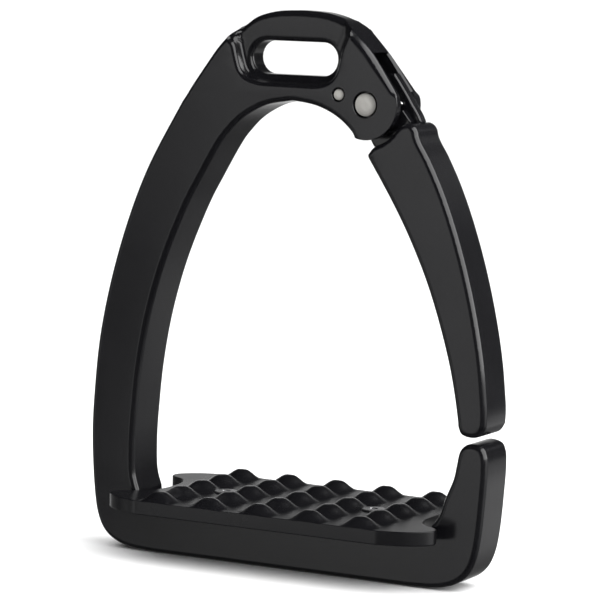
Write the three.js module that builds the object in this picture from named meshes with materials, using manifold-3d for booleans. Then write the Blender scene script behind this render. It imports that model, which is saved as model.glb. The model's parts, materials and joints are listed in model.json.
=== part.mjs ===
// A safety stirrup iron: a machined aluminium frame whose outer branch is a sprung, hinged release arm.
// Millimetres. The frame stands in the XZ plane, +Z up, +X towards the release arm, front face at -Y.
// The origin is the middle of the frame's flat underside.
import * as THREE from "three";
import { mergeVertices } from "three/addons/utils/BufferGeometryUtils.js";
import Module from "manifold-3d";

const wasm = await Module();
wasm.setup();

// ---- driving dimensions ----
const FRAME_THICK = 19;
const EDGE_FILLET = 2;
const HALF_WIDTH = 78.1;
const TOP_Z = 195.5;
const FLOOR_Z = 17;
const SEAT_X = 58.2;
const ARCH_Z = 164.4;

const HINGE = { x: 28.63, z: 164.3 };
const PIN_R = 4;
const BUSH_R = 5;
const RUNNING_GAP = 0.05;
const CHEEK_R = 12.1;
const KNUCKLE_R = 8.2;
const SHOULDER_R = 14.3;
const CLEVIS = { front: -5.5, rear: 4.8, innerR: 13.5, topZ: 182 };
const TONGUE = { front: -0.5, rear: 4.5 };
const STOP_PIN = { x: 18.34, z: 167.32, r: 2 };
const PIN_LENGTH = 18.4;
const PIN_CHAMFER = 0.3;

const ARM_TIP_Z = 53.6;
const HORN_TOP_Z = 51.6;

const BAR_THICK = 10;
const BAR_FILLET = 2.5;
const STRAP_SLOT = { x0: -18.3, x1: 14.9, z0: 173.1, z1: 184.7 };
const RECESS_FILLET = 1.5;

const SPRING = {
  wire: 1.4, meanR: 5.25, turns: 3, frontY: -4.7, rearY: -1.35,
  legAngle: 61, legLength: 8.9, anchorAngle: 218, anchorLength: 8.4,
};

const TREAD = {
  midY: 5, depth: 68, halfX: 64, cornerX: 47, notchX: 52, bottomZ: 17.3, topZ: 22.3, edge: 0.5,
};
const STUD = { pitchX: 19.75, pitchY: 15, height: 3.4, rows: 5, columns: 5, footR: 9.2 };
const SCREW = {
  x: 29.6, headR: 4.2, shankR: 2.4, length: 16, bore: 2.7, headBore: 4.5, proud: 0.6, rim: 0.4,
  socketR: 1.45, socketDeep: 1.6, holeDepth: 12,
};
const LEDGE_FRONT = -5.1;
const ROUND_STEPS = 40;
const SCREW_STEPS = 24;
// How far a cutter runs on past the face that it opens.
const PAST = 1;

// ---- small helpers ----
const rad = THREE.MathUtils.degToRad;
const point = (x, y) => new THREE.Vector2(x, y);

function mirrored(points) {
  return points.map(([x, z]) => [-x, z]).reverse();
}

// Points on an arc about a centre, from one angle to another, in degrees.
function arc(cx, cz, r, from, to, steps = 12) {
  return Array.from({ length: steps + 1 }, (_, i) => {
    const a = rad(from + ((to - from) * i) / steps);
    return [cx + r * Math.cos(a), cz + r * Math.sin(a)];
  });
}

// A smooth line through the given points, sampled a few times between neighbours.
function smooth(points, perSpan = 3) {
  const spline = new THREE.SplineCurve(points.map(([x, z]) => point(x, z)));
  return spline.getPoints(perSpan * (points.length - 1)).map((p) => [p.x, p.y]);
}

// A shape from an outline, without points that repeat the one before.
function shapeOf(points) {
  const near = ([ax, az], [bx, bz]) => Math.hypot(ax - bx, az - bz) < 0.05;
  const kept = points.filter((p, i) => !near(p, points.at(i - 1)));
  return new THREE.Shape(kept.map(([x, z]) => point(x, z)));
}

// A plate in the XZ plane between two values of y, with its long edges rounded by a fillet.
function plate(points, front, rear, fillet = 0, holes = [], segments = 3) {
  const shape = shapeOf(points);
  shape.holes = holes.map(shapeOf);
  const solid = new THREE.ExtrudeGeometry(shape, {
    depth: rear - front - 2 * fillet,
    bevelEnabled: fillet > 0,
    bevelThickness: fillet,
    bevelSize: fillet,
    bevelOffset: -fillet,
    bevelSegments: segments,
  });
  solid.rotateX(Math.PI / 2);
  solid.translate(0, rear - fillet, 0);
  return toSolid(solid);
}

// A round piece along Y, from pairs of radius and distance behind the front end.
function turned(profile, x, front, z, steps = ROUND_STEPS) {
  const solid = new THREE.LatheGeometry(profile.map(([r, y]) => point(r, y)), steps);
  solid.translate(x, front, z);
  return toSolid(solid);
}

function rod(x, z, r, front, rear, chamfer = 0) {
  const length = rear - front;
  const profile = chamfer
    ? [[0, 0], [r - chamfer, 0], [r, chamfer], [r, length - chamfer], [r - chamfer, length], [0, length]]
    : [[0, 0], [r, 0], [r, length], [0, length]];
  return turned(profile, x, front, z);
}

function toSolid(geometry) {
  geometry.deleteAttribute("normal");
  geometry.deleteAttribute("uv");
  const merged = mergeVertices(geometry, 1e-4);
  const solid = new wasm.Manifold(
    new wasm.Mesh({
      numProp: 3,
      vertProperties: merged.attributes.position.array,
      triVerts: new Uint32Array(merged.index.array),
    }),
  );
  if (solid.volume() > 0) return solid;
  const flipped = new Uint32Array(merged.index.array);
  for (let i = 0; i < flipped.length; i += 3) {
    [flipped[i + 1], flipped[i + 2]] = [flipped[i + 2], flipped[i + 1]];
  }
  return new wasm.Manifold(
    new wasm.Mesh({ numProp: 3, vertProperties: merged.attributes.position.array, triVerts: flipped }),
  );
}

function toGeometry(solid) {
  const made = solid.getMesh();
  const geometry = new THREE.BufferGeometry();
  geometry.setAttribute("position", new THREE.BufferAttribute(made.vertProperties, made.numProp));
  geometry.setIndex(new THREE.BufferAttribute(made.triVerts, 1));
  geometry.computeVertexNormals();
  return geometry;
}

const cut = (solid, ...tools) => tools.reduce((left, tool) => left.subtract(tool), solid);
const join = (solid, ...others) => others.reduce((left, other) => left.add(other), solid);

// ---- outlines, in the XZ plane ----
// The outer side of the stirrup from the widest point up to the middle of the top.
const OUTER_SIDE = [
  [HALF_WIDTH, 38.7], [77.8, 54], [75.8, 76.4], [71.2, 98.9], [64.6, 120.6], [56.6, 139.8], [45, 160.3],
];
const SHOULDER_LINE = [[42.2, 164.6], [39.3, 169], [33.1, 177.6], [29.8, 181.9], [25.7, 186.2]];
const CROWN = [[21, 190.3], [16.5, 193.1], [9, 195], [0, TOP_Z]];
// The bottom corner, from the flat underside out to the widest point.
const BOTTOM_CORNER = [[50, 0], [62, 0.9], [70.1, 4.2], [74.6, 10.4], [76.8, 21], [HALF_WIDTH, 38.7]];
const INNER_SIDE = [
  [60.4, 38.7], [59.9, 49.5], [58.3, 67], [54.9, 86], [49.2, 105.5], [41.2, 124.7], [35.4, 135.5],
  [28.8, 146.9], [24.7, 152.4], [18.8, 158], [10, 162.6], [0, ARCH_Z],
];

function outerRight() {
  return smooth([...BOTTOM_CORNER.slice(0, -1), ...OUTER_SIDE, ...SHOULDER_LINE, ...CROWN]);
}

// The cheek end of the frame runs on as a stub below the hinge, which the round cheek cut removes.
function frameOutline() {
  const right = outerRight();
  const crown = right.filter(([x, z]) => z > 150);
  const left = mirrored(right);
  const corner = smooth(BOTTOM_CORNER, 3);
  const hornOuter = right.filter(([x, z]) => z > 38.7 && z < HORN_TOP_Z - 4);
  const horn = smooth([
    [77.9, HORN_TOP_Z - 4], [76.6, HORN_TOP_Z - 1.1], [73, HORN_TOP_Z], [70, HORN_TOP_Z - 0.6],
    [67.8, HORN_TOP_Z - 3], [66.9, 44.5], [65.8, 39], [63, 32], [61, 26], [SEAT_X, FLOOR_Z + 5],
  ]);
  const seat = [[SEAT_X, FLOOR_Z], [-SEAT_X, FLOOR_Z]];
  const innerLeft = smooth([[-SEAT_X, FLOOR_Z + 5], [-60, 28], ...mirrored(INNER_SIDE).reverse()]);
  const archRight = smooth([[0, ARCH_Z], [8.8, 163.2], [16.5, 160.1], [22.8, 155.2], [28.4, 148]]).slice(1);
  return [...crown, ...left.slice(1), ...corner, ...hornOuter, ...horn, ...seat, ...innerLeft, ...archRight];
}

// Everything on the arm's side of the hinge, except the round cheek itself.
function armSideOutline() {
  return [
    [60, 167.9], [40.3, 167.9], ...arc(HINGE.x, HINGE.z, CHEEK_R, 17, -110, 20),
    [24, 150], [20, 130], [40, 75], [55, HORN_TOP_Z + 1.2], [90, HORN_TOP_Z + 1.2], [90, 167.9],
  ];
}

function recessOutline() {
  return [
    [-30, 200], [-26.2, 186.6], ...smooth([[-25.2, 184.9], [-23.2, 182.9], [-21.9, 178.5], [-20.3, 174.2],
      [-17.4, 171.7], [-12, 170.4]]), ...smooth([[8.8, 170.2], [12.9, 171], [16, 173.1], [17.6, 177],
      [18.6, 182], [20.3, 186.2]]), [26, 200],
  ];
}

function strapSlotOutline() {
  const r = (STRAP_SLOT.z1 - STRAP_SLOT.z0) / 2;
  const z = STRAP_SLOT.z0 + r;
  return [...arc(STRAP_SLOT.x1 - r, z, r, -90, 90, 14), ...arc(STRAP_SLOT.x0 + r, z, r, 90, 270, 14)];
}

// The loop that carries the strap: the crown's outline above a foot buried in the frame.
function barOutline() {
  const right = outerRight().filter(([x, z]) => z > 184);
  return [[-25, 166.5], [22, 167.5], [24.5, 176], ...right, ...mirrored(right).slice(1), [-27.5, 176]];
}

function clevisOutline() {
  return [
    ...arc(HINGE.x, HINGE.z, CLEVIS.innerR, 235, 118, 16), [26.5, CLEVIS.topZ], [50, CLEVIS.topZ],
    [60, 150], [40, 140], [24, 146],
  ];
}

// The arm, from its tip up the outer side and back down the inner one.
function armOutline() {
  const outer = outerRight().filter(([x, z]) => z > ARM_TIP_Z + 5 && z < 155);
  const shoulder = [...smooth([[48, 156.2], [47, 157.7], [45.2, 158.6], [43.3, 158.5], [41.9, 157.7]], 2),
    ...arc(HINGE.x, HINGE.z, SHOULDER_R, -34, -72, 9), [31, 149.2], [29.6, 147.4], [30, 146]];
  const inner = smooth([[30.4, 145.4], [36.9, 135.6], [43, 125.7], [48.3, 115.9], [53, 106], [56.9, 96.1],
    [60.3, 86.1], [63.2, 76.1], [65.4, 66.1], [66.7, 58.5]], 2);
  const tip = smooth([[66.9, 56.9], [68.3, 54.4], [72, ARM_TIP_Z], [75.4, 54.6], [77.2, 57.4]]);
  return [...outer, ...shoulder, ...inner, ...tip];
}

// The tongue that fills the clevis: a knuckle about the hinge, and a stop lobe flush with the outer side.
function tongueOutline() {
  const flush = outerRight().filter(([x, z]) => z > 157 && z < 174.6).reverse();
  return [
    [34, 141], [27.2, 150.6], ...arc(HINGE.x, HINGE.z, KNUCKLE_R, 232, 68, 18), [32.2, 174.9], [34.9, 175],
    ...flush, [47, 155.5], [46, 150],
  ];
}

// ---- sub-parts ----
function frame() {
  const half = FRAME_THICK / 2;
  const bar = BAR_THICK / 2;
  const body = plate(frameOutline(), -half, half, EDGE_FILLET);
  const open = half + 6 * PAST;
  const recess = plate(recessOutline(), bar - 0.01, open, RECESS_FILLET);
  const recessFront = plate(recessOutline(), -open, -bar + 0.01, RECESS_FILLET);
  const through = plate(recessOutline(), -bar, bar);
  const loop = plate(barOutline(), -bar, bar, BAR_FILLET, [strapSlotOutline()]);
  const clevis = plate(clevisOutline(), CLEVIS.front, CLEVIS.rear);
  const armSide = plate(armSideOutline(), -half - PAST, half + PAST);
  const pinBore = rod(HINGE.x, HINGE.z, PIN_R + RUNNING_GAP, -half - PAST, half + PAST);
  const stopBore = rod(STOP_PIN.x, STOP_PIN.z, STOP_PIN.r + RUNNING_GAP, -half - PAST, half + PAST);
  const blank = join(cut(body, recess, recessFront, through), loop);
  return cut(blank, clevis, armSide, pinBore, stopBore, screwBore(-SCREW.x), screwBore(SCREW.x));
}

function screwBore(x) {
  const depth = SCREW.holeDepth;
  const bore = new THREE.LatheGeometry(
    [[0, 0], [SCREW.bore, 0], [SCREW.bore, depth + PAST], [0, depth + PAST]].map(([r, z]) => point(r, z)),
    SCREW_STEPS,
  );
  bore.rotateX(Math.PI / 2);
  bore.translate(x, TREAD.midY, FLOOR_Z - depth);
  return toSolid(bore);
}

function releaseArm() {
  const half = FRAME_THICK / 2;
  const body = plate(armOutline(), -half, half, EDGE_FILLET);
  const tongue = plate(tongueOutline(), TONGUE.front, TONGUE.rear);
  const ledge = plate([[36.5, 154], [44, 154], [43.6, 158.6], [41.2, 161.6], [40.2, 162.8], [36.5, 161]],
    LEDGE_FRONT, TONGUE.front + PAST);
  const cheekRoom = plate(arc(HINGE.x, HINGE.z, CHEEK_R + 0.6, 0, 345, 40), -half - PAST, LEDGE_FRONT);
  const bushBore = rod(HINGE.x, HINGE.z, BUSH_R + RUNNING_GAP, -half - PAST, half + PAST);
  return cut(join(body, tongue, ledge), bushBore, cheekRoom);
}

function hingePin() {
  return rod(HINGE.x, HINGE.z, PIN_R, -PIN_LENGTH / 2, PIN_LENGTH / 2, PIN_CHAMFER);
}

function stopPin() {
  return rod(STOP_PIN.x, STOP_PIN.z, STOP_PIN.r, -PIN_LENGTH / 2, PIN_LENGTH / 2, PIN_CHAMFER);
}

function hingeBush() {
  return cut(
    rod(HINGE.x, HINGE.z, BUSH_R, TONGUE.front, TONGUE.rear),
    rod(HINGE.x, HINGE.z, PIN_R + RUNNING_GAP, TONGUE.front - PAST, TONGUE.rear + PAST),
  );
}

// A coil round the hinge pin, with one leg on the stop pin and the other on the arm's ledge.
class SpringPath extends THREE.Curve {
  constructor() {
    super();
    this.legAngle = rad(SPRING.legAngle);
    this.turn = rad(SPRING.legAngle - SPRING.anchorAngle + 360 * SPRING.turns);
    this.coilLength = this.turn * SPRING.meanR;
    this.total = SPRING.legLength + this.coilLength + SPRING.anchorLength;
  }

  onCoil(angle, y) {
    const r = SPRING.meanR;
    return new THREE.Vector3(HINGE.x + r * Math.cos(angle), y, HINGE.z + r * Math.sin(angle));
  }

  getPoint(t, target = new THREE.Vector3()) {
    const along = t * this.total;
    const coilEnd = SPRING.legLength + this.coilLength;
    const tangent = (angle, sign) => new THREE.Vector3(-Math.sin(angle) * sign, 0, Math.cos(angle) * sign);
    if (along < SPRING.legLength) {
      const start = this.onCoil(this.legAngle, SPRING.rearY);
      return target.copy(start.addScaledVector(tangent(this.legAngle, -1), SPRING.legLength - along));
    }
    if (along > coilEnd) {
      const end = this.legAngle + this.turn;
      const start = this.onCoil(end, SPRING.frontY);
      return target.copy(start.addScaledVector(tangent(end, 1), along - coilEnd));
    }
    const part = (along - SPRING.legLength) / this.coilLength;
    const y = THREE.MathUtils.lerp(SPRING.rearY, SPRING.frontY, part);
    return target.copy(this.onCoil(this.legAngle + this.turn * part, y));
  }
}

function torsionSpring() {
  const path = new SpringPath();
  const wire = shapeOf(arc(0, 0, SPRING.wire / 2, 0, 315, 7));
  return toSolid(new THREE.ExtrudeGeometry(wire, { steps: 90, bevelEnabled: false, extrudePath: path }));
}

// The plate's outline in plan: pointed ends with a shallow notch between two rounded tips.
function treadOutline() {
  const { halfX, cornerX, notchX } = TREAD;
  const edge = TREAD.depth / 2;
  const corner = [[cornerX, -edge], [cornerX + 8.5, -edge + 2.8], [halfX - 2.2, -edge + 7.4],
    [halfX, -edge + 11.4], [halfX - 1.1, -edge + 15]];
  const notch = [[halfX - 3.8, -edge + 17], [notchX + 4.6, -15], [notchX + 1.8, -11], [notchX + 0.3, -6],
    [notchX, 0]];
  const lower = [...smooth(corner, 2), ...smooth(notch, 2)];
  const right = [...lower, ...lower.slice(0, -1).map(([x, y]) => [x, -y]).reverse()];
  const left = right.map(([x, y]) => [-x, -y]);
  return [...right, ...left];
}

function lyingPlate(points, low, high, edge) {
  const solid = new THREE.ExtrudeGeometry(shapeOf(points), {
    depth: high - low - 2 * edge,
    bevelEnabled: true,
    bevelThickness: edge,
    bevelSize: edge,
    bevelOffset: -edge,
    bevelSegments: 1,
  });
  solid.translate(0, TREAD.midY, low + edge);
  return toSolid(solid);
}

function stud(column, row) {
  const { height, footR, pitchX, pitchY } = STUD;
  const profile = [[0, -PAST], [footR, -PAST], [footR, 0.05], [footR * 0.66, 0.24 * height],
    [footR * 0.4, 0.72 * height], [footR * 0.25, 0.95 * height], [footR * 0.15, height], [0, height]];
  const solid = new THREE.LatheGeometry(profile.map(([r, z]) => point(r, z)), 10);
  solid.rotateX(Math.PI / 2);
  solid.scale(1, pitchY / pitchX, 1);
  solid.translate(column * pitchX, TREAD.midY + row * pitchY, TREAD.topZ);
  return toSolid(solid);
}

function treadPlate() {
  const columns = (STUD.columns - 1) / 2;
  const rows = (STUD.rows - 1) / 2;
  let top = lyingPlate(treadOutline(), TREAD.bottomZ, TREAD.topZ, TREAD.edge);
  const within = lyingPlate(treadOutline(), TREAD.bottomZ, TREAD.topZ + 2 * STUD.height, TREAD.edge);
  for (let column = -columns; column <= columns; column++) {
    for (let row = -rows; row <= rows; row++) {
      top = join(top, stud(column, row).intersect(within));
    }
  }
  return cut(top, screwRoom(-SCREW.x), screwRoom(SCREW.x));
}

// A clearance hole with a countersink for the head.
function screwRoom(x) {
  const { bore, headBore, proud, rim } = SCREW;
  const seat = proud - rim - RUNNING_GAP;
  const low = TREAD.bottomZ - TREAD.topZ - PAST;
  const high = STUD.height + PAST;
  const room = new THREE.LatheGeometry(
    [[0, low], [bore, low], [bore, seat - headBore + bore], [headBore, seat], [headBore, high], [0, high]]
      .map(([r, z]) => point(r, z)), SCREW_STEPS,
  );
  room.rotateX(Math.PI / 2);
  room.translate(x, TREAD.midY, TREAD.topZ);
  return toSolid(room);
}

// A countersunk screw with a round socket.
function treadScrew(x) {
  const { headR, shankR, length, socketR, socketDeep, proud, rim } = SCREW;
  const profile = [[0, -length], [shankR, -length], [shankR, proud - rim - headR + shankR],
    [headR, proud - rim], [headR, proud], [socketR, proud], [socketR, proud - socketDeep],
    [0, proud - socketDeep]];
  const screw = new THREE.LatheGeometry(profile.map(([r, z]) => point(r, z)), SCREW_STEPS);
  screw.rotateX(Math.PI / 2);
  screw.translate(x, TREAD.midY, TREAD.topZ);
  return toSolid(screw);
}

// ---- materials ----
function anodised(name) {
  return new THREE.MeshStandardMaterial({ name, color: 0x0b0b0d, roughness: 0.28, metalness: 0.2 });
}

function steel(name, color = 0xcfccc4) {
  return new THREE.MeshStandardMaterial({ name, color, roughness: 0.35, metalness: 1 });
}

function bronze() {
  return new THREE.MeshStandardMaterial({ name: "bronze", color: 0xa9793c, roughness: 0.4, metalness: 1 });
}

// ---- assembly ----
function mesh(name, solid, material) {
  const made = new THREE.Mesh(toGeometry(solid), material);
  made.name = name;
  return made;
}

const stirrup = new THREE.Group();
stirrup.add(
  mesh("frame", frame(), anodised("frame_black")),
  mesh("release_arm", releaseArm(), anodised("arm_black")),
  mesh("hinge_pin", hingePin(), steel("pin_steel")),
  mesh("hinge_bush", hingeBush(), bronze()),
  mesh("stop_pin", stopPin(), steel("stop_pin_steel")),
  mesh("torsion_spring", torsionSpring(), steel("spring_steel", 0xd8d8d8)),
  mesh("tread_plate", treadPlate(), anodised("tread_black")),
  mesh("tread_screw_left", treadScrew(-SCREW.x), steel("screw_steel_left")),
  mesh("tread_screw_right", treadScrew(SCREW.x), steel("screw_steel_right")),
);

export default stirrup;
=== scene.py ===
import json
import math

import bmesh
import bpy
import numpy as np
from mathutils import Matrix, Vector
from mathutils.geometry import delaunay_2d_cdt


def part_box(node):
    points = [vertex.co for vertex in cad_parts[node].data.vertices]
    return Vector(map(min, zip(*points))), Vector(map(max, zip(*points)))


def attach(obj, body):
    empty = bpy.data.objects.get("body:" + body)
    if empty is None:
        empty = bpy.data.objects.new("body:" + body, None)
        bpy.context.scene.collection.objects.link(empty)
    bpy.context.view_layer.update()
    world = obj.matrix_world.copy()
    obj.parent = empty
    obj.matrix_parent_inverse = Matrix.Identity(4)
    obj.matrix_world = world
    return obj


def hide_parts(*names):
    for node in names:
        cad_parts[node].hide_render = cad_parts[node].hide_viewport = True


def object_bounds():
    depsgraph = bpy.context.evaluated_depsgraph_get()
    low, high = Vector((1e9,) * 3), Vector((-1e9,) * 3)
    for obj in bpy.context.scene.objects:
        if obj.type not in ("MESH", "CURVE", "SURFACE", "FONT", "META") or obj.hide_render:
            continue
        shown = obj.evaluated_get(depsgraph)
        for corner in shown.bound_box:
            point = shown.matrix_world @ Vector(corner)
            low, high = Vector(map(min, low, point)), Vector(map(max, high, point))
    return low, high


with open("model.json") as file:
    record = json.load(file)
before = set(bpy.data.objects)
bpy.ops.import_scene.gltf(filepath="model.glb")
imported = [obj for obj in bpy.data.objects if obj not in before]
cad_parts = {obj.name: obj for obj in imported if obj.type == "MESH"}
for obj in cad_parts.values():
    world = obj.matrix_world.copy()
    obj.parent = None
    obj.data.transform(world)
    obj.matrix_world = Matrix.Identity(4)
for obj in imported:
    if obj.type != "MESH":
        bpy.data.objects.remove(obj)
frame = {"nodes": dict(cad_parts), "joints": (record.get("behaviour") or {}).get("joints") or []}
cad_low, cad_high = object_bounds()

# Lengths are in metres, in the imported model's frame: +X to the release arm, front at -Y, +Z up.
MM = 0.001
HINGE = Vector(frame["joints"][0]["pos_m"])

# ---- driving dimensions of the looks ----
# Planes that the CAD is cut on for outlines: in front of the crown's bar, and through the bar.
Y_AXIS, Z_AXIS = 1, 2
BODY_PLANE = -7 * MM
CROWN_PLANE = -1 * MM

# Edges of the frame and the arm. The frame's rear fillet grows towards the shoulder above the hinge.
EDGE_FILLET = 2.0 * MM
FILLET_STEPS = 7
SHOULDER_EXTRA = 2.4 * MM
SHOULDER_X, SHOULDER_REACH = 28 * MM, 14 * MM
SHOULDER_FOOT = 166 * MM

# The cheeks round the hinge, and the slant of the outer edge between them and the crown.
CHEEK_R = 12.1 * MM
CHEEK_TOP = 168 * MM
CHEEK_FILLET = 0.25 * MM
CHEEK_BEVEL = 0.8 * MM
SLANT_FILLET, SLANT_EXTRA = 1.8 * MM, 1.0 * MM
SLANT_CLIMB = 12 * MM
SLANT_X, SLANT_FOOT = 20 * MM, 167.8 * MM
BEVEL_LOW, BEVEL_HIGH = 168.6 * MM, 182 * MM
CLEVIS_R = 13.5 * MM
CLEVIS_FRONT, CLEVIS_REAR = -6.6 * MM, 4.8 * MM

# The crown's recess: its wall and floor, and the thinner bar in it, with the strap slot.
RECESS_FILLET = 1.7 * MM
WALL_DRAFT = 0.25 * MM
FLOOR_FILLET = 1.5 * MM
WIDE_FLOOR_FILLET, WIDE_FROM_X = 4.2 * MM, 10 * MM
FOOT_RISE = 1.6 * MM
BAR_HALF = 5.0 * MM
BAR_LEAST = 0.8 * MM
BAR_FILLET = 2.5 * MM
BAR_TOP_FROM = 184.6 * MM
SLOT_FILLET = 2.0 * MM
CREST_DRAFT = 4.5 * MM
CREST_REACH = 5.0 * MM

# The arm's web round the bush, and the ledge in front of it.
WEB_PLANE, LEDGE_PLANE = 2 * MM, -3 * MM
WEB_FILLET = 0.9 * MM
LEDGE_FRONT = -3.9 * MM
LEDGE_FILLET = 0.4 * MM
WEB_BURIED = 0.9 * MM

# The tread, and the screws' holes in the frame: a radius, and the heights where they start and end.
STUD_HEIGHT = 3.4 * MM
STUD_FOOT = (7.9 * MM, 9.0 * MM)
STUD_APART = 5 * MM
STUD_FLAT = 0.12
STUD_MARGIN, STUD_MARGIN_POWER = 4.2 * MM, 2.2
STUD_GRID = 0.6 * MM
TREAD_EDGE, TREAD_TOP_EDGE = 0.5 * MM, 0.3 * MM
SCREW_HOLE_R, SCREW_HOLE = 2.7 * MM, (5 * MM, 20 * MM)

# ---- how finely outlines are drawn, and what counts as the same place ----
POINT_STEP = 0.9 * MM
LONG_CHORD, STANDS_OUT = 9.0 * MM, 4
SHARP = math.radians(24)
MOST_LEAN = 0.2
SHORTEST_CHORD, LEAST_TURN = 0.03 * MM, math.radians(0.12)
FEWEST_POINTS = 8
LONGEST_MITRE, NEARLY_PARALLEL = 9 * MM, 0.05
RING_SLACK = 0.012 * MM
SAME_POINT, ON_PLANE, ON_EDGE = 2e-6, 1e-7, 1e-8
SAME_POINT_MM = 1e-3
BATCH = 800

# ---- driving values of the stage ----
FLOOR_R = 30
OVERHEAD_STRENGTH = 3.9
# The room's light fades with height: where it starts and ends, and the light there.
FADE_UP = (0.0, 0.42, 1.06, 0.03)
FADE_DOWN = (-0.54, -0.02, 0.08, 1.0)
# Soft dark areas of the room: azimuth, elevation, outer and inner radius in degrees, light that is left.
DARK_AREAS = (
    (32, -4, 56, 36, 0.12), (-35.5, -5.8, 8, 4.5, 0.02), (-41, -11, 15, 7, 0.7),
    (-90, 14, 46, 26, 0.12), (154, 4, 19, 6, 0.06), (140, -14, 18, 8, 0.35),
)

# ---- camera: the photograph's viewing angle ----
CAM_AZIMUTH, CAM_ELEVATION, CAM_ROLL = 27.67, 6.37, math.radians(1.61)
CAM_DISTANCE = 1.0492
CAM_LENS = 179.86
CAM_AIM = Vector((0.0008, 0, 0.0945))


# ---- outlines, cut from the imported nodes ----
def section(node, axis, at):
    """The closed outlines of a CAD node on the plane where that axis has the value at, longest first."""
    bm = bmesh.new()
    bm.from_mesh(frame["nodes"][node].data)
    bmesh.ops.remove_doubles(bm, verts=bm.verts, dist=SAME_POINT)
    point, normal = Vector(), Vector()
    point[axis], normal[axis] = at, 1
    geometry = bm.verts[:] + bm.edges[:] + bm.faces[:]
    cut = bmesh.ops.bisect_plane(bm, geom=geometry, plane_co=point, plane_no=normal, dist=ON_PLANE)
    beside = {}
    for edge in (g for g in cut["geom_cut"] if isinstance(g, bmesh.types.BMEdge)):
        for v in edge.verts:
            beside.setdefault(v, []).append(edge.other_vert(v))
    kept = [i for i in range(3) if i != axis]
    left, loops = set(beside), []
    while left:
        loop = [min(left, key=lambda v: tuple(v.co))]
        left.discard(loop[0])
        while True:
            onward = [w for w in beside[loop[-1]] if w in left]
            if not onward:
                break
            loop.append(onward[0])
            left.discard(onward[0])
        loops.append(np.array([[v.co[i] for i in kept] for v in loop]))
    bm.free()
    return sorted((tidied(p) for p in loops if len(p) >= FEWEST_POINTS), key=len, reverse=True)


def chords(points):
    """The length and heading of the chord that leaves each point."""
    step = np.roll(points, -1, 0) - points
    return np.linalg.norm(step, axis=1), np.arctan2(step[:, 1], step[:, 0])


def wrapped(angle):
    return (angle + math.pi) % (2 * math.pi) - math.pi


def turns(points):
    """The angle that the outline turns through at each point."""
    heading = chords(points)[1]
    return wrapped(heading - np.roll(heading, 1))


def tidied(points):
    """Counter-clockwise, without points that repeat or lie on a straight stretch."""
    x, z = points.T
    if (x * np.roll(z, -1) - z * np.roll(x, -1)).sum() < 0:
        points = points[::-1]
    for _ in range(3):
        points = points[chords(points)[0] > SHORTEST_CHORD]
        points = points[np.abs(turns(points)) > LEAST_TURN]
    return points


def flowing(points, step=POINT_STEP):
    """The outline with finer points on its curves, which are cubics from point to point. Chords that are
    long, or that stand out among their neighbours, stay straight, and sharp corners stay sharp."""
    length, heading = chords(points)
    turn = turns(points)
    near = np.maximum(np.roll(length, 1), np.roll(length, -1))
    straight = (length > LONG_CHORD) | ((length > LONG_CHORD / 3) & (length > STANDS_OUT * near))
    sharp = (np.abs(turn) > SHARP) | (straight & np.roll(straight, 1))
    share = np.where(straight, 1e-9, length)
    before = np.roll(share, 1)
    tangent = np.roll(heading, 1) + turn * before / (before + share)
    out = []
    for i in range(len(points)):
        j = (i + 1) % len(points)
        leave = 0 if sharp[i] else wrapped(tangent[i] - heading[i])
        arrive = 0 if sharp[j] else wrapped(tangent[j] - heading[i])
        if not straight[i]:
            leave = -arrive if sharp[i] else leave
            arrive = -leave if sharp[j] else arrive
        leave, arrive = (heading[i] + np.clip(a, -MOST_LEAN, MOST_LEAN) for a in (leave, arrive))
        count = max(1, round(length[i] / step))
        for t in np.arange(count) / count:
            way = length[i] * ((t ** 3 - 2 * t ** 2 + t) * np.array([math.cos(leave), math.sin(leave)])
                               + (t ** 3 - t ** 2) * np.array([math.cos(arrive), math.sin(arrive)]))
            blend = 3 * t ** 2 - 2 * t ** 3
            out.append((1 - blend) * points[i] + blend * points[j] + way)
    return np.clip(np.array(out), points.min(0), points.max(0))


def distances(points, outline, values=None):
    """How far in from a counter-clockwise outline points are, negative outside, and its value nearest to
    each of them."""
    a, d = outline, np.roll(outline, -1, 0) - outline
    values = np.zeros(len(outline)) if values is None else values
    onward = np.roll(values, -1)
    far, there = [], []
    for some in np.array_split(points, max(1, len(points) // BATCH)):
        to = some[:, None] - a
        t = np.clip((to * d).sum(2) / (d * d).sum(1), 0, 1)
        gap = np.linalg.norm(to - t[:, :, None] * d, axis=2)
        best = gap.argmin(1)
        rows = np.arange(len(some))
        t = t[rows, best]
        below, above = a[:, 1] <= some[:, 1:2], (a + d)[:, 1] <= some[:, 1:2]
        side = d[:, 0] * to[:, :, 1] - d[:, 1] * to[:, :, 0]
        winding = ((below & ~above & (side > 0)) * 1 - (~below & above & (side < 0)) * 1).sum(1)
        far.append(np.where(winding != 0, gap[rows, best], -gap[rows, best]))
        there.append(values[best] * (1 - t) + onward[best] * t)
    return np.concatenate(far), np.concatenate(there)


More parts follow.
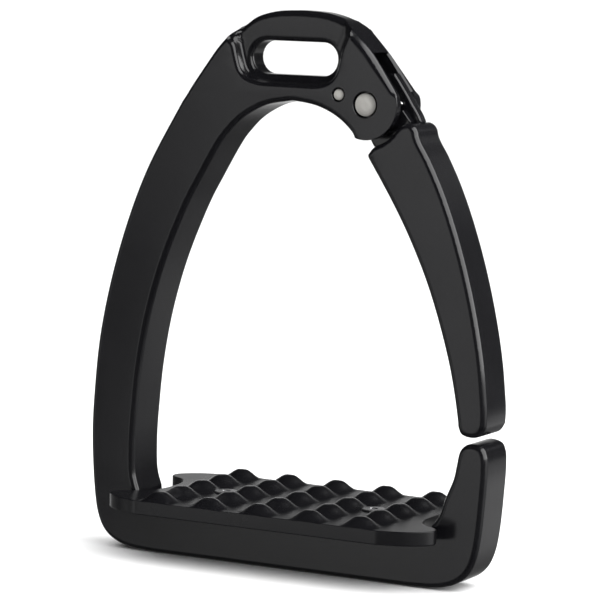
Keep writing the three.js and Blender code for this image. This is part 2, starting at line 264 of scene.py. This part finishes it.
def ring(outline, depth):
    """Lines at a depth inside the outline, or outside it where depth is negative. Corners are mitred."""
    depth = np.broadcast_to(np.asarray(depth, float), len(outline))
    along = np.roll(outline, -1, 0) - np.roll(outline, 1, 0)
    along /= np.linalg.norm(along, axis=1)[:, None]
    moved = outline + np.stack([-along[:, 1], along[:, 0]], 1) * depth[:, None]
    reach = distances(moved, outline)[0]
    good = np.flatnonzero(np.sign(depth) * reach > np.abs(depth) - RING_SLACK)
    lines, line = [], []
    for k, i in enumerate(good):
        j = good[(k + 1) % len(good)]
        line.append(moved[i])
        if (j - i) % len(outline) == 1:
            continue
        square = np.array([along[i], along[j]]).T
        mitre = None
        if abs(np.linalg.det(square)) > NEARLY_PARALLEL:
            s, t = np.linalg.solve(square, moved[j] - moved[i])
            if 0 < s < LONGEST_MITRE and 0 < t < LONGEST_MITRE:
                mitre = moved[i] + s * along[i]
        if mitre is None:
            lines.append(line)
            line = []
        else:
            line.append(mitre)
    if not lines:
        return [line + line[:1]]
    lines[0] = line + lines[0]
    return [points for points in lines if len(points) > 1]


def soften(values, passes=4):
    """Values along the outline, blended a little where they step."""
    values = values.astype(float)
    for _ in range(passes):
        values = (np.roll(values, 1) + 2 * values + np.roll(values, -1)) / 4
    return values


# ---- meshes ----
def new_object(name, bm):
    bmesh.ops.recalc_face_normals(bm, faces=bm.faces)
    mesh = bpy.data.meshes.new(name)
    bm.to_mesh(mesh)
    bm.free()
    obj = bpy.data.objects.new(name, mesh)
    bpy.context.scene.collection.objects.link(obj)
    shade(obj)
    return obj


def shade(obj, smooth_angle=35):
    obj.data.polygons.foreach_set("use_smooth", [True] * len(obj.data.polygons))
    obj.data.set_sharp_from_angle(angle=math.radians(smooth_angle))


def closed(outline):
    return list(outline) + [outline[0]]


def relief(name, lines, spots, keep, heights, place):
    """A closed solid over a flat region. lines are drawn on it, spots are further points, and keep tells
    which middles of triangles belong to it. heights gives the top and the bottom over each point."""
    points, edges = [], []
    for line in lines:
        first = len(points)
        points += [Vector((p[0] / MM, p[1] / MM)) for p in line]
        edges += [(i, i + 1) for i in range(first, len(points) - 1)]
    points += [Vector((p[0] / MM, p[1] / MM)) for p in spots]
    flat, _, faces, _, _, _ = delaunay_2d_cdt(points, edges, [], 0, SAME_POINT_MM)
    flat = np.array([tuple(p) for p in flat]) * MM
    faces = np.array([f[:3] for f in faces])
    faces = faces[keep(flat[faces].mean(1))]
    top, bottom = heights(flat)
    used = np.unique(faces)
    bm = bmesh.new()
    high = {i: bm.verts.new(place(*flat[i], top[i])) for i in used}
    low = {i: bm.verts.new(place(*flat[i], bottom[i])) for i in used}
    sides = {}
    for a, b, c in faces.tolist():
        bm.faces.new((high[a], high[b], high[c]))
        bm.faces.new((low[c], low[b], low[a]))
        for i, j in ((a, b), (b, c), (c, a)):
            sides[i, j] = sides.get((i, j), 0) + 1
    for i, j in sides:
        if (j, i) not in sides:
            bm.faces.new((high[i], low[i], low[j], high[j]))
    return new_object(name, bm)


def rounded(reach, fillet):
    """How far a filleted face has fallen at a distance in from its edge."""
    part = np.clip(1 - reach / np.maximum(fillet, 1e-9), 0, 1)
    return fillet * (1 - np.sqrt(1 - part ** 2))


def fillet_steps(fillet):
    angles = np.linspace(0, math.pi / 2, FILLET_STEPS + 1)[1:]
    return [fillet * (1 - math.cos(a)) for a in angles]


def plate(name, outline, front, rear, fillet):
    """A plate in the XZ plane with rounded edges. fillet is one length, or one for each outline point."""
    fillet = np.broadcast_to(np.asarray(fillet, float), len(outline))
    lines = [closed(outline)]
    for part in fillet_steps(1.0):
        lines += ring(outline, fillet * part)
    middle, half = (front + rear) / 2, (rear - front) / 2

    def heights(points):
        top = half - rounded(*distances(points, outline, fillet))
        return -top, top

    return relief(name, lines, [], lambda p: distances(p, outline)[0] > 0, heights,
                  lambda x, z, h: (x, middle + h, z))


def turned(name, profile, x, z, steps=96):
    """A round solid about a line along Y, from pairs of radius and y that start and end on the axis."""
    bm = bmesh.new()
    rows = []
    for r, y in profile:
        if r == 0:
            rows.append([bm.verts.new((x, y, z))] * steps)
            continue
        around = [2 * math.pi * i / steps for i in range(steps)]
        rows.append([bm.verts.new((x + r * math.cos(a), y, z + r * math.sin(a))) for a in around])
    for low, high in zip(rows, rows[1:]):
        for i in range(steps):
            j = (i + 1) % steps
            bm.faces.new(list(dict.fromkeys((low[i], low[j], high[j], high[i]))))
    return new_object(name, bm)


def cylinder(name, radius, front, rear, x, z):
    return turned(name, [(0, front), (radius, front), (radius, rear), (0, rear)], x, z)


def boolean(obj, other, how):
    change = obj.modifiers.new(how, "BOOLEAN")
    change.object, change.operation, change.solver = other, how, "MANIFOLD"
    bpy.context.view_layer.update()
    result = bpy.data.meshes.new_from_object(obj.evaluated_get(bpy.context.evaluated_depsgraph_get()))
    obj.modifiers.clear()
    obj.data = result
    bpy.data.objects.remove(other)
    shade(obj)
    return obj


def finish_piece(obj, body, slot, *nodes, material):
    obj.data.materials.clear()
    obj.data.materials.append(material)
    weigh = obj.modifiers.new("even_normals", "WEIGHTED_NORMAL")
    weigh.keep_sharp = True
    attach(obj, body)
    if nodes:
        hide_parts(*nodes)
    return obj


# ---- materials ----
GRAIN_DEPTH = 0.02 * MM


def node_material(name):
    material = bpy.data.materials.new(name)
    material.use_nodes = True
    nodes, links = material.node_tree.nodes, material.node_tree.links
    return material, nodes, links, nodes["Principled BSDF"]


def noise(nodes, links, scale, detail=4.0, stretch=(1, 1, 1)):
    where = nodes.new("ShaderNodeTexCoord")
    mapping = nodes.new("ShaderNodeMapping")
    mapping.inputs["Scale"].default_value = stretch
    texture = nodes.new("ShaderNodeTexNoise")
    texture.inputs["Scale"].default_value = scale
    texture.inputs["Detail"].default_value = detail
    links.new(where.outputs["Object"], mapping.inputs["Vector"])
    links.new(mapping.outputs["Vector"], texture.inputs["Vector"])
    return texture.outputs["Fac"]


def map_range(nodes, links, source, from_low, from_high, low, high):
    node = nodes.new("ShaderNodeMapRange")
    for name, value in (("From Min", from_low), ("From Max", from_high), ("To Min", low), ("To Max", high)):
        node.inputs[name].default_value = value
    links.new(source, node.inputs["Value"])
    return node


def ramp(nodes, links, source, low, high):
    """Noise stretched from the middle of its range, where most of it lies, to low and high."""
    return map_range(nodes, links, source, 0.3, 0.7, low, high).outputs["Result"]


def bump(nodes, links, shader, height, distance, strength):
    node = nodes.new("ShaderNodeBump")
    node.inputs["Distance"].default_value = distance
    node.inputs["Strength"].default_value = strength
    links.new(height, node.inputs["Height"])
    links.new(node.outputs["Normal"], shader.inputs["Normal"])


def base_colour(nodes, links, factor, low, high, shader):
    """The base colour, between two colours."""
    tone = nodes.new("ShaderNodeMix")
    tone.data_type = "RGBA"
    tone.inputs["A"].default_value = (*low, 1)
    tone.inputs["B"].default_value = (*high, 1)
    links.new(factor, tone.inputs["Factor"])
    links.new(tone.outputs["Result"], shader.inputs["Base Color"])


def anodised(name, rough_low, rough_high, grain):
    """Black anodised aluminium: a dark dielectric skin over a fine matt grain."""
    material, nodes, links, shader = node_material(name)
    dye = noise(nodes, links, scale=55, detail=5)
    base_colour(nodes, links, dye, (0.0026, 0.0026, 0.0032), (0.0048, 0.0047, 0.0058), shader)
    wear = noise(nodes, links, scale=24, detail=6)
    links.new(ramp(nodes, links, wear, rough_low, rough_high), shader.inputs["Roughness"])
    bump(nodes, links, shader, noise(nodes, links, scale=2600, detail=2), GRAIN_DEPTH, grain)
    return material


def steel(name, colour, rough, stretch=(1, 1, 1)):
    """Bright steel with fine marks from grinding or drawing."""
    material, nodes, links, shader = node_material(name)
    shader.inputs["Metallic"].default_value = 1
    marks = noise(nodes, links, scale=900, detail=3, stretch=stretch)
    base_colour(nodes, links, marks, [0.82 * c for c in colour], colour, shader)
    links.new(ramp(nodes, links, marks, rough - 0.07, rough + 0.07), shader.inputs["Roughness"])
    bump(nodes, links, shader, marks, GRAIN_DEPTH, 0.5)
    return material


def floor_material():
    material, nodes, links, shader = node_material("floor_pale")
    base_colour(nodes, links, noise(nodes, links, scale=3), (0.88, 0.88, 0.88), (0.9, 0.9, 0.9), shader)
    shader.inputs["Roughness"].default_value = 0.9
    shader.inputs["Specular IOR Level"].default_value = 0.1
    return material


# ---- sub-parts ----
def frame_piece():
    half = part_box("frame")[1].y
    body = flowing(section("frame", Y_AXIS, BODY_PLANE)[0])
    crown, slot = (flowing(loop) for loop in section("frame", Y_AXIS, CROWN_PLANE)[:2])
    bar = bar_outline(crown)
    on_cheek, on_slant, in_recess = frame_regions(body, bar, crown)
    fillet, rear_fillet, floor_fillet = frame_fillets(body, on_cheek, on_slant, in_recess)

    lines = [closed(body), closed(bar), closed(slot)]
    for part in fillet_steps(1.0):
        lines += ring(body, fillet * part) + ring(body, rear_fillet * part)
        lines += ring(bar, BAR_FILLET * part)
        lines += ring(slot, -SLOT_FILLET * part)
    for part in [0] + fillet_steps(1.0):
        lines += ring(body, -(WALL_DRAFT + floor_fillet * part))
    for out in (2.2, 3, 4, 5.2):
        lines += ring(body, -out * MM)
    lines = [clipped for line in lines for clipped in within(line, body, bar)]

    def keep(points):
        in_body, in_bar = distances(points, body)[0] > 0, distances(points, bar)[0] > 0
        return in_body | (in_bar & (distances(points, slot)[0] < 0))

    def face(points, fillet):
        """How far the frame reaches from its middle plane, on the body and in the recess."""
        in_body, near_fillet = distances(points, body, fillet)
        cheek = half - rounded(in_body, near_fillet)
        in_bar = distances(points, bar)[0]
        crest = BAR_HALF - rounded(in_bar, BAR_FILLET)
        crest -= rounded(-distances(points, slot)[0], SLOT_FILLET)
        crest = np.maximum(crest, BAR_LEAST)
        draft = WALL_DRAFT + CREST_DRAFT * np.clip(1 - in_bar / CREST_REACH, 0, 1) ** 2
        wide = distances(points, body, floor_fillet)[1]
        foot = rounded(-in_body - draft, wide) * FOOT_RISE / wide
        wall_top = half - near_fillet
        rise = np.clip(-in_body / draft, 0, 1)
        rise = np.where(draft > 2 * WALL_DRAFT, rise * rise * (3 - 2 * rise), rise)
        outside = np.where(in_body > -draft, wall_top + (crest + FOOT_RISE - wall_top) * rise, crest + foot)
        return np.where(in_body >= -ON_EDGE, cheek, outside)

    def heights(points):
        return -face(points, fillet), face(points, rear_fillet)

    piece = relief("frame_machined", lines, [], keep, heights, lambda x, z, h: (x, h, z))
    piece = boolean(piece, clevis_tool(), "DIFFERENCE")
    slant = body[on_slant & (body[:, 1] > BEVEL_LOW) & (body[:, 1] < BEVEL_HIGH)]
    piece = boolean(piece, bevel_tool(slant[np.argsort(slant[:, 1])]), "DIFFERENCE")
    for node, room in (("hinge_pin", 0.55 * MM), ("stop_pin", 0.42 * MM)):
        piece = boolean(piece, bore_tool(node, half, room), "DIFFERENCE")
    for hand in ("left", "right"):
        low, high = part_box("tread_screw_" + hand)
        bore = cylinder("bore", SCREW_HOLE_R, *SCREW_HOLE, 0, 0)
        hole = upright(bore, (low.x + high.x) / 2, (low.y + high.y) / 2)
        piece = boolean(piece, hole, "DIFFERENCE")
    return piece


def frame_regions(body, bar, crown):
    """Which points of the frame's outline lie on the round cheek, on the slant above it, in the recess."""
    x, z = body.T
    from_axis = np.linalg.norm(body - np.array([HINGE.x, HINGE.z]), axis=1)
    on_cheek = (np.abs(from_axis - CHEEK_R) < 0.25 * MM) & (x > HINGE.x - 5 * MM) & (z < CHEEK_TOP)
    off_crown = np.abs(distances(body, crown)[0]) > 0.4 * MM
    in_recess = off_crown & (distances(body, bar)[0] > 0.3 * MM) & (from_axis > CHEEK_R + 2 * MM)
    on_slant = (x > SLANT_X) & (z > SLANT_FOOT) & ~in_recess & ~on_cheek
    return on_cheek, on_slant, in_recess


def frame_fillets(body, on_cheek, on_slant, in_recess):
    """The fillets at each outline point: of the front edge, the rear edge, and the recess's floor."""
    x, z = body.T
    slant_fillet = SLANT_FILLET + SLANT_EXTRA * np.clip((z - CHEEK_TOP) / SLANT_CLIMB, 0, 1)
    fillet = np.where(on_cheek, CHEEK_FILLET, np.where(on_slant, slant_fillet, EDGE_FILLET))
    fillet = soften(np.where(in_recess, RECESS_FILLET, fillet), 2)
    shoulder = np.clip(1 - np.abs(x - SHOULDER_X) / SHOULDER_REACH, 0, 1) * (z > SHOULDER_FOOT)
    rear_fillet = fillet + SHOULDER_EXTRA * soften(np.where(in_recess | on_cheek, 0, shoulder), 12)
    right_wall = in_recess & (x > WIDE_FROM_X)
    return fillet, rear_fillet, soften(np.where(right_wall, WIDE_FLOOR_FILLET, FLOOR_FILLET), 10)


def within(line, body, bar):
    """The stretches of a line that lie on the frame."""
    line = np.array(line)
    inside = np.maximum(distances(line, body)[0], distances(line, bar)[0]) > -ON_PLANE
    stretch, out = [], []
    for p, ok in zip(line, inside):
        if ok:
            stretch.append(p)
        elif stretch:
            out.append(stretch)
            stretch = []
    return out + [stretch] if stretch else out


def bar_outline(crown):
    """The crown's outer side, with a foot buried in the frame below it."""
    top = crown[crown[:, 1] > BAR_TOP_FROM]
    top = top[np.argsort(-top[:, 0])]
    foot = np.array([[-27.5, 176], [-25, 166.5], [22, 167.5], [24.5, 176]]) * MM
    return np.vstack([top, foot])


def clevis_tool():
    """The milled pocket between the cheeks, round about the hinge and open to the outer edge."""
    around = np.radians(np.linspace(118, 235, 40))
    wall = np.stack([HINGE.x + CLEVIS_R * np.cos(around), HINGE.z + CLEVIS_R * np.sin(around)], 1)
    outer = np.array([[24, 146], [40, 140], [60, 150], [50, 182], [26.5, 182]]) * MM
    return plate("clevis_tool", np.vstack([wall, outer]), CLEVIS_FRONT, CLEVIS_REAR, 0.02 * MM)


def bevel_tool(edge):
    """Takes the corner off the rear cheek where the pocket opens to the outer side. edge runs upwards."""
    along = np.gradient(edge, axis=0)
    along /= np.linalg.norm(along, axis=1)[:, None]
    inwards = np.stack([-along[:, 1], along[:, 0]], 1)
    y, past = CLEVIS_REAR, 1 * MM
    corners = ((CHEEK_BEVEL, y - past), (CHEEK_BEVEL, y),
               (-past, y + CHEEK_BEVEL + past), (-past, y - past))
    bm, rows = bmesh.new(), []
    for p, n in zip(edge, inwards):
        rows.append([bm.verts.new((p[0] + n[0] * depth, at, p[1] + n[1] * depth)) for depth, at in corners])
    for low, high in zip(rows, rows[1:]):
        for i in range(4):
            j = (i + 1) % 4
            bm.faces.new((low[i], low[j], high[j], high[i]))
    bm.faces.new(rows[0])
    bm.faces.new(rows[-1])
    return new_object("bevel_tool", bm)


def bore_tool(node, half, room):
    """A bore for a pin, with a narrow groove round the pin at each mouth."""
    low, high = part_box(node)
    x, z, r = (low.x + high.x) / 2, (low.z + high.z) / 2, (high.x - low.x) / 2 + 0.04 * MM
    past, deep, edge = 1 * MM, 2.4 * MM, 0.1 * MM
    mouth = [(0, -half - past), (r + room + edge + past, -half - past), (r + room, -half + edge),
             (r + room, -half + deep), (r, -half + deep)]
    return turned(node + "_bore", mouth + [(radius, -y) for radius, y in reversed(mouth)], x, z)


def arm_piece():
    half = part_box("release_arm")[1].y
    outline = flowing(section("release_arm", Y_AXIS, BODY_PLANE)[0])
    arm = plate("arm_machined", outline, -half, half, EDGE_FILLET)
    low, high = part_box("hinge_bush")
    webs = ((WEB_PLANE, low.y, high.y, WEB_FILLET),
            (LEDGE_PLANE, LEDGE_FRONT, low.y + WEB_BURIED, LEDGE_FILLET))
    for at, front, rear, fillet in webs:
        loop = flowing(section("release_arm", Y_AXIS, at)[0], 0.6 * MM)
        buried = distances(loop, outline)[0] > -0.1 * MM
        lines = ring(loop, np.where(buried, WEB_BURIED, 0.0) + ON_PLANE)
        web = plate("web", np.array(lines[0][:-1]), front, rear, fillet)
        arm = boolean(arm, web, "UNION")
    r = (high.x - low.x) / 2 + 0.04 * MM
    return boolean(arm, cylinder("bore", r, -half, half, HINGE.x, HINGE.z), "DIFFERENCE")


def pin_piece(node):
    """A pin with narrow chamfers. A further ring on each end keeps it flat when its normals are smoothed."""
    low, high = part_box(node)
    x, z, r = (low.x + high.x) / 2, (low.z + high.z) / 2, (high.x - low.x) / 2
    edge = 0.25 * MM
    profile = [(0, low.y), (r * 0.3, low.y), (r - edge, low.y), (r - edge * 0.3, low.y + edge * 0.3),
               (r, low.y + edge), (r, high.y - edge), (r - edge * 0.3, high.y - edge * 0.3),
               (r - edge, high.y), (r * 0.3, high.y), (0, high.y)]
    return turned(node + "_turned", profile, x, z)


def bush_piece():
    low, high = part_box("hinge_bush")
    pin_low, pin_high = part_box("hinge_pin")
    outer, inner = (high.x - low.x) / 2, (pin_high.x - pin_low.x) / 2 + 0.05 * MM
    bush = cylinder("bush_turned", outer, low.y, high.y, HINGE.x, HINGE.z)
    return boolean(bush, cylinder("bush_hole", inner, -1, 1, HINGE.x, HINGE.z), "DIFFERENCE")


def spring_wire(name, points, radius, around=14):
    """A round wire along the points, with rounded ends."""
    points = [Vector(p) for p in points]
    first, last = (points[0] - points[1]).normalized(), (points[-1] - points[-2]).normalized()
    sections = []
    for a in np.radians((0, 30, 60, 80)):
        sections.append((points[0] + first * radius * (math.cos(a) - 1), radius * math.sin(a)))
    sections += [(p, radius) for p in points[1:-1]]
    for a in np.radians((80, 60, 30, 0)):
        sections.append((points[-1] + last * radius * (math.cos(a) - 1), radius * math.sin(a)))
    bm, rows = bmesh.new(), []
    side = Vector((0, 1, 0))
    for i, (middle, r) in enumerate(sections):
        along = (sections[min(i + 1, len(sections) - 1)][0] - sections[max(i - 1, 0)][0]).normalized()
        side = (side - along * side.dot(along)).normalized()
        up = along.cross(side)
        if r == 0:
            rows.append([bm.verts.new(middle)] * around)
            continue
        angles = [2 * math.pi * k / around for k in range(around)]
        rows.append([bm.verts.new(middle + (side * math.cos(a) + up * math.sin(a)) * r) for a in angles])
    for low, high in zip(rows, rows[1:]):
        for k in range(around):
            n = (k + 1) % around
            bm.faces.new(list(dict.fromkeys((low[k], low[n], high[n], high[k]))))
    return new_object(name, bm)


def spring_pieces():
    """The coil with its fixed leg, and the leg that the arm pushes, which turns with the arm."""
    low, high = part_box("torsion_spring")
    wire, mean = 0.7 * MM, 5.25 * MM
    front, rear = low.y + wire, high.y - wire
    leg_angle, anchor_angle, coils = math.radians(61), math.radians(218), 3
    sweep = leg_angle - anchor_angle + 2 * math.pi * coils
    leg_length, anchor_length = 8.9 * MM, 8.4 * MM

    def on_coil(angle, y):
        return Vector((HINGE.x + mean * math.cos(angle), y, HINGE.z + mean * math.sin(angle)))

    def tangent(angle):
        return Vector((-math.sin(angle), 0, math.cos(angle)))

    steps = 160
    coil = []
    for i in range(steps + 1):
        coil.append(on_coil(leg_angle + sweep * i / steps, rear + (front - rear) * i / steps))
    coil += [coil[-1] + tangent(leg_angle + sweep) * anchor_length * t for t in (0.5, 1)]
    start = on_coil(leg_angle, rear)
    leg = [start - tangent(leg_angle) * leg_length * t for t in (1, 0.8, 0.4, 0)]
    return spring_wire("spring_coil", coil, wire), spring_wire("spring_leg", leg, wire)


def tread_piece():
    low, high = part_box("tread_plate")
    face = high.z - STUD_HEIGHT
    outline = flowing(section("tread_plate", Z_AXIS, low.z + 3 * MM)[0])
    cad_points = frame["nodes"]["tread_plate"].data.vertices
    tops = np.array([v.co for v in cad_points if v.co.z > high.z - 0.02 * MM])
    studs = stud_centres(tops[:, :2])
    xs, ys = np.arange(low.x, high.x, STUD_GRID), np.arange(low.y, high.y, STUD_GRID)
    spots = np.stack([g.ravel() for g in np.meshgrid(xs, ys)], 1)
    spots = spots[distances(spots, outline)[0] > 0.75 * MM]
    lines = [closed(outline)]
    for depth in (0.08 * MM, TREAD_TOP_EDGE, TREAD_EDGE):
        lines += ring(outline, depth)

    def heights(points):
        inside = distances(points, outline)[0]
        margin = np.clip(inside / STUD_MARGIN, 0, 1)
        stud = stud_height(points, studs, high.z - face) * (1 - (1 - margin) ** STUD_MARGIN_POWER)
        top = face + stud - rounded(inside, TREAD_TOP_EDGE)
        return top, low.z + rounded(inside, TREAD_EDGE)

    tread = relief("tread_milled", lines, spots, lambda p: distances(p, outline)[0] > 0, heights,
                   lambda x, y, h: (x, y, h))
    for hand in ("left", "right"):
        tread = boolean(tread, screw_room("tread_screw_" + hand, face), "DIFFERENCE")
    return tread


def stud_centres(tops):
    """The middles of the groups of points on the studs' flat tops."""
    groups = []
    for p in tops:
        near = next((g for g in groups if np.linalg.norm(g[0] - p) < STUD_APART), None)
        if near is None:
            groups.append([p])
        else:
            near.append(p)
    return np.array([(np.min(g, 0) + np.max(g, 0)) / 2 for g in groups])


def stud_height(points, studs, rise):
    """Rounded studs with small flat tops."""
    away = np.sqrt((((points[:, None] - studs) / np.array(STUD_FOOT)) ** 2).sum(2))
    slope = np.clip((away - STUD_FLAT) / (1 - STUD_FLAT), 0, 1)
    return rise * (0.5 + 0.5 * np.cos(np.pi * slope)).max(1)


def upright(obj, x, y):
    """Turns a solid made about the Y axis to stand on Z at x, y."""
    obj.data.transform(Matrix.Translation((x, y, 0)) @ Matrix.Rotation(math.pi / 2, 4, "X"))
    return obj


def screw_room(node, face):
    """The countersunk hole for a screw, open upwards through the studs."""
    low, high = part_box(node)
    x, y, r = (low.x + high.x) / 2, (low.y + high.y) / 2, (high.x - low.x) / 2 + 0.3 * MM
    seat = high.z - 0.5 * MM
    shank, top, flare = SCREW_HOLE_R, face + 6 * MM, 1 * MM
    profile = [(0, 0), (shank, 0), (shank, seat - (r - shank)), (r, seat), (r + flare, top), (0, top)]
    return upright(turned(node + "_room", profile, 0, 0), x, y)


def screw_piece(node):
    low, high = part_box(node)
    x, y, r = (low.x + high.x) / 2, (low.y + high.y) / 2, (high.x - low.x) / 2
    top, edge, shank, socket = high.z, 0.2 * MM, 2.4 * MM, 1.45 * MM
    rim, depth = top - 0.4 * MM, top - 1.6 * MM
    profile = [(0, low.z), (shank, low.z), (shank, rim - (r - shank)), (r, rim), (r, top - edge),
               (r - edge, top), (socket + edge, top), (socket, top - edge), (socket, depth), (0, depth)]
    return upright(turned(node + "_turned", profile, 0, 0, 64), x, y)


# ---- stage ----
def floor():
    bm = bmesh.new()
    bmesh.ops.create_circle(bm, cap_ends=True, segments=128, radius=FLOOR_R)
    obj = new_object("floor", bm)
    obj.location.z = -0.05 * MM
    obj.visible_glossy = False
    obj.data.materials.append(floor_material())


def aimed(light, aim, azimuth, elevation, distance, glossy=True):
    obj = bpy.data.objects.new(light.name, light)
    bpy.context.scene.collection.objects.link(obj)
    away = direction(azimuth, elevation)
    obj.location = aim + away * distance
    obj.rotation_mode = "QUATERNION"
    obj.rotation_quaternion = away.to_track_quat("Z", "Y")
    obj.visible_glossy = glossy


def softbox(name, aim, azimuth, elevation, distance, width, height, radiance):
    light = bpy.data.lights.new(name, "AREA")
    light.shape, light.size, light.size_y = "RECTANGLE", width, height
    light.energy = radiance * math.pi * width * height
    aimed(light, aim, azimuth, elevation, distance)


def lights():
    middle = (cad_low + cad_high) / 2
    overhead = bpy.data.lights.new("overhead", "SUN")
    overhead.energy, overhead.angle = OVERHEAD_STRENGTH, math.radians(100)
    aimed(overhead, middle, azimuth=20, elevation=84, distance=3, glossy=False)
    softbox("right_box", middle, azimuth=92, elevation=33, distance=1.2,
            width=2.3, height=1.45, radiance=3.6)


def world_light():
    """A pale room: white round the horizon, dark overhead and where the photographer stands."""
    world = bpy.data.worlds.new("studio")
    bpy.context.scene.world = world
    world.use_nodes = True
    nodes, links = world.node_tree.nodes, world.node_tree.links
    way = nodes.new("ShaderNodeTexCoord").outputs["Generated"]
    split = nodes.new("ShaderNodeSeparateXYZ")
    links.new(way, split.inputs["Vector"])
    above = smooth_fade(nodes, links, split.outputs["Z"], *FADE_UP)
    below = smooth_fade(nodes, links, split.outputs["Z"], *FADE_DOWN)
    light = multiplied(nodes, links, above, below)
    for azimuth, elevation, wide, core, left in DARK_AREAS:
        centre = nodes.new("ShaderNodeVectorMath")
        centre.operation = "DOT_PRODUCT"
        centre.inputs[1].default_value = direction(azimuth, elevation)
        links.new(way, centre.inputs[0])
        limits = (math.cos(math.radians(wide)), math.cos(math.radians(core)))
        shadow = smooth_fade(nodes, links, centre.outputs["Value"], *limits, 1.0, left)
        light = multiplied(nodes, links, light, shadow)
    links.new(light, nodes["Background"].inputs["Strength"])
    nodes["Background"].inputs["Color"].default_value = (1, 1, 1, 1)


def multiplied(nodes, links, one, other):
    product = nodes.new("ShaderNodeMath")
    product.operation = "MULTIPLY"
    links.new(one, product.inputs[0])
    links.new(other, product.inputs[1])
    return product.outputs["Value"]


def smooth_fade(nodes, links, source, *limits):
    fade = map_range(nodes, links, source, *limits)
    fade.interpolation_type = "SMOOTHSTEP"
    return fade.outputs["Result"]


def direction(azimuth, elevation):
    a, e = math.radians(azimuth), math.radians(elevation)
    return Vector((math.sin(a) * math.cos(e), -math.cos(a) * math.cos(e), math.sin(e)))


def camera():
    data = bpy.data.cameras.new("camera")
    data.lens, data.sensor_width = CAM_LENS, 36
    data.clip_start, data.clip_end = 0.05, 100
    obj = bpy.data.objects.new("camera", data)
    bpy.context.scene.collection.objects.link(obj)
    back = direction(CAM_AZIMUTH, CAM_ELEVATION)
    obj.location = CAM_AIM + back * CAM_DISTANCE
    obj.rotation_mode = "QUATERNION"
    look = (-back).to_track_quat("-Z", "Y")
    obj.rotation_quaternion = look @ Matrix.Rotation(CAM_ROLL, 3, "Z").to_quaternion()
    bpy.context.scene.camera = obj


camera()
world_light()
floor()
lights()
bpy.context.scene.view_settings.view_transform = "Standard"

black = anodised("anodised_frame", rough_low=0.14, rough_high=0.20, grain=0.10)
black_arm = anodised("anodised_arm", rough_low=0.14, rough_high=0.20, grain=0.10)
black_tread = anodised("anodised_tread", rough_low=0.24, rough_high=0.32, grain=0.25)
pin_steel = steel("ground_steel", (0.88, 0.86, 0.81), rough=0.36, stretch=(1, 0.2, 1))
wire_steel = steel("drawn_wire", (0.75, 0.75, 0.75), rough=0.25)
screw_steel = steel("screw_steel", (0.62, 0.62, 0.63), rough=0.32)
bronze = steel("sintered_bronze", (0.55, 0.34, 0.14), rough=0.45)

finish_piece(frame_piece(), "frame_body", "frame_black", "frame", material=black)
finish_piece(arm_piece(), "arm_body", "arm_black", "release_arm", material=black_arm)
finish_piece(tread_piece(), "frame_body", "tread_black", "tread_plate", material=black_tread)
for pin in ("hinge_pin", "stop_pin"):
    finish_piece(pin_piece(pin), "frame_body", "pin_steel", pin, material=pin_steel)
finish_piece(bush_piece(), "arm_body", "bush_bronze", "hinge_bush", material=bronze)
for hand in ("left", "right"):
    node = "tread_screw_" + hand
    finish_piece(screw_piece(node), "frame_body", "screw_steel", node, material=screw_steel)
coil, leg = spring_pieces()
for piece, body in ((coil, "frame_body"), (leg, "arm_body")):
    finish_piece(piece, body, "spring_steel", material=wire_steel)
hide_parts("torsion_spring")
